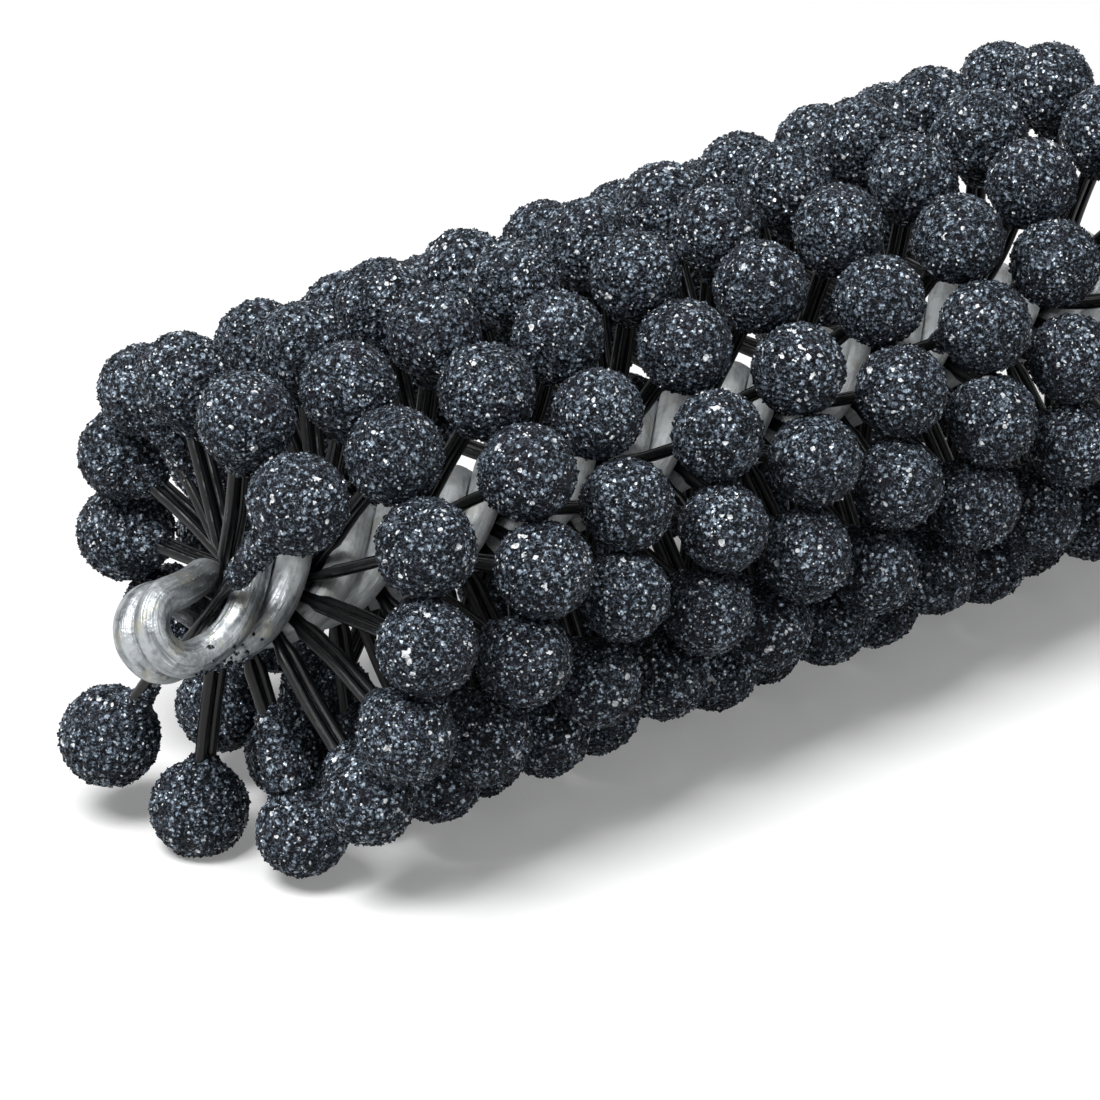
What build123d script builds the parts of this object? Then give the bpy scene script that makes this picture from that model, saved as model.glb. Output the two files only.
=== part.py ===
from build123d import *
from math import cos, pi, radians, sin, sqrt
import os

# A flexible ball hone, for putting a cross-hatched finish on the wall of a bore.
# Two wires are folded in half at the tip and twisted together. Bundles of nylon
# strands pass straight through the stem between the wire legs, and each end of a
# bundle carries an abrasive ball. The twist fans the bundles out, so that the
# balls lie on a two-start helix.
#
# The origin is the centre of the shank's sheared end. X runs along the stem to
# the tip, and the hone lies with its lowest balls under it, so Z is up.
# Angles about the stem are measured from +Y toward +Z, in degrees.

# The stem: two folded wires, and so four legs
stem_length = 203.0
wire_diameter = 2.4
twist_lead = 17.2
leg_gap = 0.13

# The eye that the folds make at the tip
eye_bend_radius = 2.25
eye_taper_length = 5.0
eye_angle = 30.0
twist_ease_length = 4.0

# The nylon strands, laid in pairs
strand_diameter = 0.54
strand_gap = 0.02
strand_clearance = 0.2

# The abrasive balls
ball_diameter = 6.4
hone_diameter = 37.9
neck_diameter = 1.9
neck_length = 0.9
neck_start_angle = -52.0
neck_straight_share = 0.7
socket_depth = 2.2

# How the bundles follow one another, from the tip toward the shank
first_bundle_setback = 6.6
first_bundle_angle = 52.0
bundle_step_angle = 23.5
tip_step_angle = 29.0
tip_step_count = 3
row_count = 9
bundles_per_row = 8

# How the legs close up behind the last bundle
closing_length = 7.0
closing_start = 1.5

# How finely the twisted centreline is followed
points_per_turn = 10
points_per_bend = 6
spans_per_turn = 2

# Sizes that follow from those above
bundle_count = row_count * bundles_per_row
ball_circle_radius = (hone_diameter - ball_diameter) / 2
strand_offset = (strand_diameter + strand_gap) / 2
strand_end_radius = ball_circle_radius - ball_diameter / 2 + socket_depth
neck_end_radius = ball_circle_radius - ball_diameter / 2 - neck_length
first_bundle_x = stem_length - first_bundle_setback
eye_centre_x = stem_length - wire_diameter / 2 - eye_bend_radius

# A leg that climbs round the stem leans over, so its section is wider across the
# stem than the wire is. Each spacing is opened by the slope that the leg has there.
twist_rate = 2 * pi / twist_lead
touching_half = (wire_diameter + leg_gap) / 2
packed_half = touching_half / sqrt(1 - (touching_half * twist_rate) ** 2)
crossing_half = (wire_diameter + strand_diameter) / 2 + strand_clearance
crossing_slope = twist_rate * touching_half * sqrt(1 + (crossing_half * twist_rate) ** 2)
brush_half_across = crossing_half * sqrt(1 + crossing_slope ** 2)
brush_half_across += strand_offset * crossing_slope


# The twist sets in gradually behind the eye, so that it suits the first bundle's angle
eye_turn = first_bundle_angle - eye_angle
twist_start_x = first_bundle_x + eye_turn / 360 * twist_lead + twist_ease_length / 2


def twist_length(x):
    """Length of full twist between the tip and x: it starts from none in the eye."""
    behind = twist_start_x - x
    if behind <= 0:
        return 0.0
    if behind < twist_ease_length:
        return behind ** 2 / (2 * twist_ease_length)
    return behind - twist_ease_length / 2


def twist_share(x):
    """Share of the full twist rate at x: 0 in the eye and 1 in the brush."""
    behind = twist_start_x - x
    return min(max(behind / twist_ease_length, 0.0), 1.0)


def bundle_turn(index):
    """Angle from the first bundle to this one: the tip's bundles fan out wider."""
    wide_steps = min(index, tip_step_count)
    return wide_steps * tip_step_angle + (index - wide_steps) * bundle_step_angle


def bundle_x(index):
    return first_bundle_x - bundle_turn(index) / 360 * twist_lead


def ease(value, start, end):
    """0 before start and 1 after end, with a smooth run between."""
    share = min(max((value - start) / (end - start), 0.0), 1.0)
    return share * share * (3 - 2 * share)


# The legs close up behind the last bundle, and open into the eye at the tip
closed_from_x = bundle_x(bundle_count - 1) - closing_start
closed_to_x = closed_from_x - closing_length
eye_from_x = eye_centre_x - eye_taper_length


def half_across(x):
    """Half of the legs' spacing across the bundles, which lie between them."""
    brush_share = ease(x, closed_to_x, closed_from_x)
    eye_share = ease(x, eye_from_x, eye_centre_x)
    half = packed_half + brush_share * (brush_half_across - packed_half)
    return half + eye_share * (eye_bend_radius - brush_half_across)


def half_along(x):
    """Half of the legs' spacing along the bundles, where the legs touch."""
    slope = half_across(x) * twist_rate * twist_share(x)
    return touching_half * sqrt(1 + slope ** 2)


def stem_point(x, along, across):
    """A point at x that lies along and across the bundle plane there."""
    turn = radians(eye_angle) + twist_length(x) * twist_rate
    return Vector(
        x,
        along * cos(turn) - across * sin(turn),
        along * sin(turn) + across * cos(turn),
    )


def wire_centreline(side):
    """One folded wire's centreline: up one leg, round the eye and back down."""
    leg_run = eye_centre_x + wire_diameter
    leg_steps = round(leg_run / twist_lead * points_per_turn)
    leg_x = [leg_run * step / leg_steps - wire_diameter for step in range(leg_steps)]
    points = [stem_point(x, side * half_along(x), half_across(x)) for x in leg_x]
    for step in range(points_per_bend + 1):
        turn = pi * step / points_per_bend
        reach = eye_bend_radius * sin(turn)
        across = eye_bend_radius * cos(turn)
        points.append(stem_point(eye_centre_x + reach, side * touching_half, across))
    for x in reversed(leg_x):
        points.append(stem_point(x, side * half_along(x), -half_across(x)))
    return points


def folded_wire_path(side):
    """The centreline in short spans, one after another, so that each has its face."""
    whole = Spline(*wire_centreline(side))
    span_count = 2 * round(stem_length / twist_lead * spans_per_turn)
    shares = [span / span_count for span in range(span_count + 1)]
    return Wire([whole.trim(low, high) for low, high in zip(shares, shares[1:])])


# Folded wires, each swept along its own centreline and sheared off at the shank end

path_a = folded_wire_path(1)
path_b = folded_wire_path(-1)

with BuildPart() as stem_wire_a:
    with BuildSketch(Plane(origin=path_a @ 0, z_dir=path_a % 0)):
        Circle(wire_diameter / 2)
    sweep(path=path_a)
    split(bisect_by=Plane.YZ, keep=Keep.TOP)
stem_wire_a.part.label = "stem_wire_a"

with BuildPart() as stem_wire_b:
    with BuildSketch(Plane(origin=path_b @ 0, z_dir=path_b % 0)):
        Circle(wire_diameter / 2)
    sweep(path=path_b)
    split(bisect_by=Plane.YZ, keep=Keep.TOP)
stem_wire_b.part.label = "stem_wire_b"


# One abrasive ball, drawn on its own spoke: Z points out from the stem's axis.
# Coating runs a little way down the strands as a tapered neck, and the strands'
# ends are held in a blind socket.

with BuildPart() as ball:
    with BuildSketch(Plane.XZ):
        with BuildLine():
            ball_centre = (0, ball_circle_radius)
            outline = CenterArc(
                ball_centre,
                ball_diameter / 2,
                neck_start_angle,
                90 - neck_start_angle,
            )
            neck_end = (neck_diameter / 2, neck_end_radius)
            Bezier(
                outline @ 0,
                outline @ 0 - (outline % 0) * neck_length,
                (neck_diameter / 2, neck_end_radius + neck_length * neck_straight_share),
                neck_end,
            )
            Line(neck_end, (0, neck_end_radius))
            Line((0, neck_end_radius), outline @ 1)
        make_face()
    revolve(axis=Axis.Z)
    with Locations(
        (-strand_offset, 0, neck_end_radius),
        (strand_offset, 0, neck_end_radius),
    ):
        Cylinder(
            strand_diameter / 2,
            strand_end_radius - neck_end_radius,
            align=(Align.CENTER, Align.CENTER, Align.MIN),
            mode=Mode.SUBTRACT,
        )

# One bundle, which runs straight through the stem from ball to ball

with BuildPart() as bundle:
    with Locations((-strand_offset, 0, 0), (strand_offset, 0, 0)):
        Cylinder(strand_diameter / 2, 2 * strand_end_radius)

# Rows of neighbouring bundles, from the tip toward the shank

os.makedirs("parts", exist_ok=True)
export_step(stem_wire_a.part, "parts/stem_wire_a.step")
export_step(stem_wire_b.part, "parts/stem_wire_b.step")

for row in range(row_count):
    first = row * bundles_per_row
    near_spokes = []
    far_spokes = []
    for index in range(first, first + bundles_per_row):
        spoke_angle = first_bundle_angle + bundle_turn(index)
        place = (bundle_x(index), 0, 0)
        near_spokes.append(Location(place, (spoke_angle - 90, 0, 0)))
        far_spokes.append(Location(place, (spoke_angle + 90, 0, 0)))

    with BuildPart() as ball_row:
        with Locations(*near_spokes, *far_spokes):
            add(ball.part)
    ball_row.part.label = f"ball_row_{row + 1}"
    export_step(ball_row.part, f"parts/ball_row_{row + 1}.step")

    with BuildPart() as strand_row:
        with Locations(*near_spokes):
            add(bundle.part)
    strand_row.part.label = f"strand_row_{row + 1}"
    export_step(strand_row.part, f"parts/strand_row_{row + 1}.step")
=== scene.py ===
"""The flexible ball hone, dressed for its portrait.

Two folded galvanised wires are twisted together, bundles of nylon strands pass
between their legs, and each end of a bundle carries a ball of abrasive grit.
Lengths are in millimetres until a mesh is made, which is in metres.
"""

import itertools
import logging
import math
import random
from dataclasses import dataclass, field
from enum import Enum

import bmesh
import bpy
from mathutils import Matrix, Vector


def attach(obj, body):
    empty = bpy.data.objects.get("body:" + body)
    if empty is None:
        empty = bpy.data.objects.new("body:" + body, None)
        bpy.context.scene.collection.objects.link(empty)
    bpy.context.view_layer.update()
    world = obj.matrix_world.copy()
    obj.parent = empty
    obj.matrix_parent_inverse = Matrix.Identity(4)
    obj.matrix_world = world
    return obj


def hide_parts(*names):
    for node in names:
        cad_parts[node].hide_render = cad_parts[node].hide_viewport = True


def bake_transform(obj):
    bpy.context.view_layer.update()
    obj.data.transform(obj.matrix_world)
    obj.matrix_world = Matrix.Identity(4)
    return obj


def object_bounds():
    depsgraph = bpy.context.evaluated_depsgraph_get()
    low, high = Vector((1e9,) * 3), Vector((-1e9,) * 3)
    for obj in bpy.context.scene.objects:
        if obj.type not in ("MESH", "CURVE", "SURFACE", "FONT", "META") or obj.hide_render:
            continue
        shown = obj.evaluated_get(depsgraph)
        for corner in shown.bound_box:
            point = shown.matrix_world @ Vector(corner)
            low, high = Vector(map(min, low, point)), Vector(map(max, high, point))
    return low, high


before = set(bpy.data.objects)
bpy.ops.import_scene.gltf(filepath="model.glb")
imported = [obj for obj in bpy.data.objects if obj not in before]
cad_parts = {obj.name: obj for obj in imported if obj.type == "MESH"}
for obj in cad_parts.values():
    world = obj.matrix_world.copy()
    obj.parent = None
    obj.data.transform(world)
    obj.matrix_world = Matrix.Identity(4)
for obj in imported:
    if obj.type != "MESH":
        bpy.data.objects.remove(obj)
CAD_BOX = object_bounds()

logging.basicConfig(level=logging.INFO, format="%(message)s")
log = logging.getLogger("hone")

MM = 0.001

Colour = tuple[float, float, float, float]
Place = tuple[float, float, float]
Span = tuple[float, float]
Socket = bpy.types.NodeSocket
Tree = bpy.types.NodeTree
Material = bpy.types.Material
Piece = bpy.types.Object

WHITE: Colour = (1.0, 1.0, 1.0, 1.0)
BLACK: Colour = (0.0, 0.0, 0.0, 1.0)


def clamp(value: float, low: float = 0.0, high: float = 1.0) -> float:
    """The value, held between low and high."""
    return min(max(value, low), high)


def ease(value: float, start: float, end: float) -> float:
    """0 before start and 1 after end, with a smooth run between."""
    share = clamp((value - start) / (end - start))
    return share * share * (3 - 2 * share)


# Node trees


class Graph:
    """A node tree that is being built, with short calls for nodes and links."""

    def __init__(self, tree: Tree) -> None:
        """Empties the tree and starts on it."""
        self.tree = tree
        self.tree.nodes.clear()

    def add(
        self, kind: str, inputs: dict[str | int, object] | None = None, **settings: object
    ) -> bpy.types.Node:
        """Adds a node, sets its properties and fills its sockets.

        Args:
            kind: the node's type name.
            inputs: socket name or number to a value, or to a socket to link from.
            settings: properties of the node.

        Returns:
            The new node.
        """
        node = self.tree.nodes.new(kind)
        for name, value in settings.items():
            setattr(node, name, value)
        for key, value in (inputs or {}).items():
            self.feed(node.inputs[key], value)
        return node

    def feed(self, socket: Socket, value: object) -> None:
        """Links a socket from another, or sets its value.

        Args:
            socket: the socket to fill.
            value: the socket to link from, or a plain value.
        """
        if isinstance(value, Socket):
            self.tree.links.new(value, socket)
        else:
            socket.default_value = value

    def math(self, operation: str, first: object, second: object = 0.0) -> Socket:
        """One Math node's result."""
        inputs = {0: first, 1: second}
        return self.add("ShaderNodeMath", inputs, operation=operation).outputs[0]

    def vector(self, operation: str, first: object, second: object) -> Socket:
        """One Vector Math node's vector result."""
        inputs = {0: first, 1: second}
        return self.add("ShaderNodeVectorMath", inputs, operation=operation).outputs[0]

    def measure(self, operation: str, first: object, second: object = (0, 0, 0)) -> Socket:
        """One Vector Math node's number, such as a length or a dot product."""
        inputs = {0: first, 1: second}
        return self.add("ShaderNodeVectorMath", inputs, operation=operation).outputs["Value"]

    def scaled(self, first: object, scale: object) -> Socket:
        """A vector times a number."""
        node = self.add("ShaderNodeVectorMath", {0: first, "Scale": scale}, operation="SCALE")
        return node.outputs[0]

    def total(self, *parts: tuple[object, float]) -> Socket:
        """The sum of some numbers, each with its weight.

        Args:
            parts: pairs of a number and its weight.

        Returns:
            The sum.
        """
        result = None
        for value, weight in parts:
            share = value if weight == 1.0 else self.math("MULTIPLY", value, weight)
            result = share if result is None else self.math("ADD", result, share)
        return result

    def ramp(
        self, value: object, low: float, high: float, start: float = 0.0, end: float = 1.0
    ) -> Socket:
        """Maps low..high to start..end, clamped, with a smooth run.

        Args:
            value: the socket to map.
            low: the value that gives start.
            high: the value that gives end.
            start: the result at low.
            end: the result at high.

        Returns:
            The result socket.
        """
        inputs = {"Value": value, "From Min": low, "From Max": high, "To Min": start, "To Max": end}
        node = self.add("ShaderNodeMapRange", inputs, interpolation_type="SMOOTHSTEP")
        return node.outputs["Result"]

    def mix(self, share: object, first: object, second: object) -> Socket:
        """A mix of two colours: sockets 6 and 7 of the node take them, and 2 gives the mix."""
        inputs = {"Factor": share, 6: first, 7: second}
        return self.add("ShaderNodeMix", inputs, data_type="RGBA").outputs[2]

    def bump(self, height: object, strength: float, depth: float) -> Socket:
        """A surface normal that a height tilts, with the relief's depth in metres."""
        inputs = {"Strength": strength, "Distance": depth, "Height": height}
        return self.add("ShaderNodeBump", inputs).outputs["Normal"]

    def place(self, tree: Tree, values: dict[str, object]) -> bpy.types.bpy_prop_collection:
        """Places a shared shader group with its own values, and gives its outputs."""
        return self.add("ShaderNodeGroup", values, node_tree=tree).outputs


class Kind(Enum):
    """The kinds of socket that the trees here take in or give out."""

    GEOMETRY = "NodeSocketGeometry"
    NUMBER = "NodeSocketFloat"
    WHOLE = "NodeSocketInt"
    VECTOR = "NodeSocketVector"
    MATERIAL = "NodeSocketMaterial"


def new_tree(name: str, kind: str, takes: dict[str, Kind], gives: dict[str, Kind]) -> Tree:
    """Makes an empty node group with its sockets.

    Args:
        name: the group's name.
        kind: ShaderNodeTree or GeometryNodeTree.
        takes: input names and kinds.
        gives: output names and kinds.

    Returns:
        The node group.
    """
    tree = bpy.data.node_groups.new(name, kind)
    for label, socket in takes.items():
        tree.interface.new_socket(label, in_out="INPUT", socket_type=socket.value)
    for label, socket in gives.items():
        tree.interface.new_socket(label, in_out="OUTPUT", socket_type=socket.value)
    return tree


def grow(name: str, source: bpy.types.ID, tree: Tree, values: dict[str, object]) -> Piece:
    """Runs a Geometry Nodes tree once and keeps its result as a plain mesh piece.

    Args:
        name: the piece's name.
        source: the mesh or curve that the tree starts from.
        tree: the Geometry Nodes tree.
        values: input names and values.

    Returns:
        The piece, at the origin, with no modifier.
    """
    carrier = bpy.data.objects.new(name + "_carrier", source)
    bpy.context.scene.collection.objects.link(carrier)
    modifier = carrier.modifiers.new("grow", "NODES")
    modifier.node_group = tree
    items = [item for item in tree.interface.items_tree if item.in_out == "INPUT"]
    sockets = {item.name: item.identifier for item in items}
    for label, value in values.items():
        modifier[sockets[label]] = value
    depsgraph = bpy.context.evaluated_depsgraph_get()
    grown = bpy.data.meshes.new_from_object(carrier.evaluated_get(depsgraph), depsgraph=depsgraph)
    carrier.modifiers.remove(modifier)
    bpy.data.objects.remove(carrier)
    grown.name = name
    piece = bpy.data.objects.new(name, grown)
    bpy.context.scene.collection.objects.link(piece)
    return piece


# The hone's sizes and the rule that places its bundles


@dataclass(frozen=True)
class HoneSizes:
    """The driving sizes, in millimetres and degrees."""

    stem_length: float = 203.0
    wire_diameter: float = 2.4
    twist_lead: float = 17.2
    leg_gap: float = 0.13
    eye_bend_radius: float = 2.25
    eye_taper_length: float = 5.0
    eye_angle: float = 30.0
    twist_ease_length: float = 4.0
    strand_diameter: float = 0.54
    strand_gap: float = 0.02
    strand_clearance: float = 0.2
    ball_diameter: float = 6.4
    hone_diameter: float = 37.9
    neck_length: float = 0.9
    first_bundle_setback: float = 6.6
    first_bundle_angle: float = 52.0
    bundle_step_angle: float = 23.5
    tip_step_angle: float = 29.0
    tip_step_count: int = 3
    row_count: int = 9
    bundles_per_row: int = 8
    closing_length: float = 7.0
    closing_start: float = 1.5

    @property
    def ball_circle_radius(self) -> float:
        """Distance of the ball centres from the stem's axis."""
        return (self.hone_diameter - self.ball_diameter) / 2

    @property
    def first_bundle_x(self) -> float:
        """Where the first bundle crosses the stem."""
        return self.stem_length - self.first_bundle_setback

    @property
    def twist_start_x(self) -> float:
        """Where the legs start to twist, behind the eye."""
        lead_in = (self.first_bundle_angle - self.eye_angle) / 360 * self.twist_lead
        return self.first_bundle_x + lead_in + self.twist_ease_length / 2

    @property
    def eye_centre_x(self) -> float:
        """Where the eye's round bend starts."""
        return self.stem_length - self.wire_diameter / 2 - self.eye_bend_radius

    @property
    def bundle_count(self) -> int:
        """How many bundles the hone has."""
        return self.row_count * self.bundles_per_row

    @property
    def strand_offset(self) -> float:
        """Half of the spacing of a bundle's two strands."""
        return (self.strand_diameter + self.strand_gap) / 2

    @property
    def neck_end_radius(self) -> float:
        """Distance from the axis at which the coated neck ends."""
        return self.ball_circle_radius - self.ball_diameter / 2 - self.neck_length

    def ends(self, indices: range) -> list[tuple[int, bool]]:
        """Each of these bundles twice: once for its near end and once for its far end."""
        return [(index, far) for index in indices for far in (False, True)]

    def row(self, number: int) -> range:
        """The bundles of a row, from 0 at the tip."""
        return range(number * self.bundles_per_row, (number + 1) * self.bundles_per_row)

    def bundle_turn(self, index: int) -> float:
        """Angle from the first bundle to this one, in degrees."""
        wide_steps = min(index, self.tip_step_count)
        return wide_steps * self.tip_step_angle + (index - wide_steps) * self.bundle_step_angle

    def bundle_x(self, index: int) -> float:
        """Where this bundle crosses the stem."""
        return self.first_bundle_x - self.bundle_turn(index) / 360 * self.twist_lead

    def spoke(self, index: int, far: bool) -> Vector:
        """Unit vector from the stem's axis to one of the bundle's two balls."""
        turn = self.first_bundle_angle + self.bundle_turn(index) + (180 if far else 0)
        return Vector((0, math.cos(math.radians(turn)), math.sin(math.radians(turn))))

    def point(self, index: int, far: bool, radius: float) -> Vector:
        """A point on a bundle's spoke, in millimetres."""
        return Vector((self.bundle_x(index), 0, 0)) + self.spoke(index, far) * radius


@dataclass(frozen=True)
class StemLine:
    """The centrelines of the two folded wires."""

    sizes: HoneSizes

    @property
    def rate(self) -> float:
        """Twist in radians per millimetre."""
        return 2 * math.pi / self.sizes.twist_lead

    @property
    def touching_half(self) -> float:
        """Half of the spacing of two wires side by side."""
        return (self.sizes.wire_diameter + self.sizes.leg_gap) / 2

    def brush_half_across(self) -> float:
        """Half of the legs' spacing where a bundle lies between them.

        Returns:
            The half spacing, in millimetres.
        """
        sizes = self.sizes
        crossing = (sizes.wire_diameter + sizes.strand_diameter) / 2 + sizes.strand_clearance
        slope = self.rate * self.touching_half * math.sqrt(1 + (crossing * self.rate) ** 2)
        return crossing * math.sqrt(1 + slope ** 2) + sizes.strand_offset * slope

    def half_across(self, x: float) -> float:
        """Half of the legs' spacing across the bundles.

        Args:
            x: the place along the stem, in millimetres.

        Returns:
            The half spacing there, in millimetres.
        """
        sizes = self.sizes
        packed = self.touching_half / math.sqrt(1 - (self.touching_half * self.rate) ** 2)
        brush = self.brush_half_across()
        closed_from = sizes.bundle_x(sizes.bundle_count - 1) - sizes.closing_start
        brush_share = ease(x, closed_from - sizes.closing_length, closed_from)
        eye_share = ease(x, sizes.eye_centre_x - sizes.eye_taper_length, sizes.eye_centre_x)
        half = packed + brush_share * (brush - packed)
        return half + eye_share * (sizes.eye_bend_radius - brush)

    def half_along(self, x: float) -> float:
        """Half of the legs' spacing along the bundles, where the legs touch.

        Args:
            x: the place along the stem, in millimetres.

        Returns:
            The half spacing there, in millimetres.
        """
        share = clamp((self.sizes.twist_start_x - x) / self.sizes.twist_ease_length)
        slope = self.half_across(x) * self.rate * share
        return self.touching_half * math.sqrt(1 + slope ** 2)

    def turn(self, x: float) -> float:
        """Angle of the bundle plane, from +Y toward +Z.

        Args:
            x: the place along the stem, in millimetres.

        Returns:
            The angle there, in radians.
        """
        behind = self.sizes.twist_start_x - x
        ease_length = self.sizes.twist_ease_length
        if behind < ease_length:
            run = max(behind, 0.0) ** 2 / (2 * ease_length)
        else:
            run = behind - ease_length / 2
        return math.radians(self.sizes.eye_angle) + run * self.rate

    def place(self, x: float, along: float, across: float) -> Vector:
        """A point that lies along and across the bundle plane.

        Args:
            x: the place along the stem.
            along: the offset along the plane.
            across: the offset across it.

        Returns:
            The point, in millimetres as all three are.
        """
        turn = self.turn(x)
        cos, sin = math.cos(turn), math.sin(turn)
        return Vector((x, along * cos - across * sin, along * sin + across * cos))

    def wire(self, side: int, points_per_turn: int, points_per_bend: int) -> list[Vector]:
        """One folded wire's centreline, up one leg, round the eye and back.

        Args:
            side: 1 or -1, for the two wires.
            points_per_turn: points in one turn of a leg.
            points_per_bend: points in the eye's half circle.

        Returns:
            The points, in millimetres.
        """
        sizes = self.sizes
        run = sizes.eye_centre_x + sizes.wire_diameter
        steps = round(run / sizes.twist_lead * points_per_turn)
        leg = [run * step / steps - sizes.wire_diameter for step in range(steps)]
        points = [self.place(x, side * self.half_along(x), self.half_across(x)) for x in leg]
        for step in range(points_per_bend + 1):
            turn = math.pi * step / points_per_bend
            reach = sizes.eye_bend_radius * math.sin(turn)
            across = sizes.eye_bend_radius * math.cos(turn)
            points.append(self.place(sizes.eye_centre_x + reach, side * self.touching_half, across))
        for x in reversed(leg):
            points.append(self.place(x, side * self.half_along(x), -self.half_across(x)))
        return points


# Shader groups that several finishes share


def make_speckle_group(
    warp: float = 0.9,
    core: float = 0.42,
    flat: float = 0.22,
    rim: float = 0.62,
    rim_shade: float = 0.1,
    crack: float = 0.012,
    crack_fade: float = 0.05,
) -> Tree:
    """Grit seen close up: tilted facets of many shades, pale edges and a few painted glints.

    Args:
        warp: how far noise bends the grains' outlines, in grain widths.
        core: how far a painted glint reaches from its grain's middle.
        flat: how far a facet keeps its full shade.
        rim: how far out it has its rim's shade.
        rim_shade: the rim's shade, as a share of the facet's.
        crack: half of the width of a pale edge in the noise.
        crack_fade: the same where the edge has faded.

    Returns:
        The node group.
    """
    takes = {"Vector": Kind.VECTOR, "Grains per Metre": Kind.NUMBER, "Bright Share": Kind.NUMBER}
    gives = dict.fromkeys(("Shade", "Edge", "Bright", "Height"), Kind.NUMBER)
    tree = new_tree("grit_speckle", "ShaderNodeTree", takes, gives)
    graph = Graph(tree)
    given = graph.add("NodeGroupInput").outputs
    grains = given["Grains per Metre"]
    grey = (0.5, 0.5, 0.5)
    noise = {"Vector": given["Vector"], "Scale": grains, "Detail": 1.0}
    bend = graph.add("ShaderNodeTexNoise", noise).outputs
    reach = graph.math("DIVIDE", warp, grains)
    push = graph.scaled(graph.vector("SUBTRACT", bend["Color"], grey), reach)
    spot = graph.vector("ADD", given["Vector"], push)
    pattern = {"Vector": spot, "Scale": grains, "Randomness": 1.0}
    cells = graph.add("ShaderNodeTexVoronoi", pattern).outputs
    split = graph.add("ShaderNodeSeparateColor", {"Color": cells["Color"]}).outputs
    offset = graph.scaled(graph.vector("SUBTRACT", spot, cells["Position"]), grains)
    slope = graph.measure("DOT_PRODUCT", offset, graph.vector("SUBTRACT", cells["Color"], grey))
    facet = graph.ramp(cells["Distance"], flat, rim, 1.0, rim_shade)
    limit = graph.math("SUBTRACT", 1.0, given["Bright Share"])
    chosen = graph.math("GREATER_THAN", split["Red"], limit)
    middle = graph.math("ABSOLUTE", graph.math("SUBTRACT", bend["Fac"], 0.5))
    graph.add("NodeGroupOutput", {
        "Shade": graph.math("MULTIPLY", split["Blue"], facet),
        "Edge": graph.ramp(middle, crack, crack_fade, 1.0, 0.0),
        "Bright": graph.math("MULTIPLY", chosen, graph.math("LESS_THAN", cells["Distance"], core)),
        "Height": graph.total((slope, 1.0), (split["Green"], 0.5)),
    })
    return tree


def make_blotch_group(detail: float = 3.0, roughness: float = 0.6) -> Tree:
    """Slow, cloudy variation over a surface, from 0 to 1.

    Args:
        detail: how many finer clouds lie in the large ones.
        roughness: how strong the finer ones are.

    Returns:
        The node group.
    """
    takes = {"Vector": Kind.VECTOR, "Patches per Metre": Kind.NUMBER, "Contrast": Kind.NUMBER}
    tree = new_tree("soft_blotch", "ShaderNodeTree", takes, {"Amount": Kind.NUMBER})
    graph = Graph(tree)
    given = graph.add("NodeGroupInput").outputs
    noise = {"Vector": given["Vector"], "Scale": given["Patches per Metre"]}
    noise.update({"Detail": detail, "Roughness": roughness})
    cloud = graph.add("ShaderNodeTexNoise", noise).outputs[0]
    centred = graph.math("SUBTRACT", cloud, 0.5)
    spread = graph.math("ADD", graph.math("MULTIPLY", centred, given["Contrast"]), 0.5)
    clipped = graph.add("ShaderNodeClamp", {"Value": spread}).outputs[0]
    graph.add("NodeGroupOutput", {"Amount": clipped})
    return tree


def make_streak_group(detail: float = 2.0) -> Tree:
    """Fine lines that run along a drawn wire or an extruded strand, from 0 to 1.

    Args:
        detail: how many finer lines lie in the broad ones.

    Returns:
        The node group.
    """
    takes = dict.fromkeys(("Along", "Around", "Lines", "Length"), Kind.NUMBER)
    tree = new_tree("draw_streaks", "ShaderNodeTree", takes, {"Amount": Kind.NUMBER})
    graph = Graph(tree)
    given = graph.add("NodeGroupInput").outputs
    turn = graph.math("MULTIPLY", given["Around"], 2 * math.pi)
    spread = graph.math("DIVIDE", given["Lines"], 2 * math.pi)
    spot = graph.add("ShaderNodeCombineXYZ", {
        "X": graph.math("MULTIPLY", graph.math("COSINE", turn), spread),
        "Y": graph.math("MULTIPLY", graph.math("SINE", turn), spread),
        "Z": graph.math("DIVIDE", given["Along"], given["Length"]),
    }).outputs[0]
    noise = {"Vector": spot, "Scale": 1.0, "Detail": detail}
    lines = graph.add("ShaderNodeTexNoise", noise).outputs[0]
    graph.add("NodeGroupOutput", {"Amount": lines})
    return tree


@dataclass(frozen=True)
class Cloud:
    """How many patches a cloudy variation has in a metre, and how sharp they are."""

    per_metre: float
    contrast: float


@dataclass(frozen=True)
class Lines:
    """How many lines run round a wire or strand, and how long each is in metres."""

    count: float
    length: float


@dataclass(frozen=True)
class SurfaceGroups:
    """The shared shader groups, built once."""

    speckle: Tree = field(default_factory=make_speckle_group)
    blotch: Tree = field(default_factory=make_blotch_group)
    streaks: Tree = field(default_factory=make_streak_group)

    def cloud(self, graph: Graph, spot: Socket, look: Cloud) -> Socket:
        """Cloudy variation in a material, from 0 to 1."""
        values = {"Vector": spot, "Patches per Metre": look.per_metre, "Contrast": look.contrast}
        return graph.place(self.blotch, values)["Amount"]

    def lines(self, graph: Graph, look: Lines) -> Socket:
        """Fine lines along a piece, from 0 to 1.

        Args:
            graph: the material's graph.
            look: how many lines there are, and how long.

        Returns:
            The amount.
        """
        along, around = (
            graph.add("ShaderNodeAttribute", attribute_name=name).outputs["Fac"]
            for name in ("along", "around")
        )
        values = {"Along": along, "Around": around, "Lines": look.count, "Length": look.length}
        return graph.place(self.streaks, values)["Amount"]


# Finishes


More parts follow.
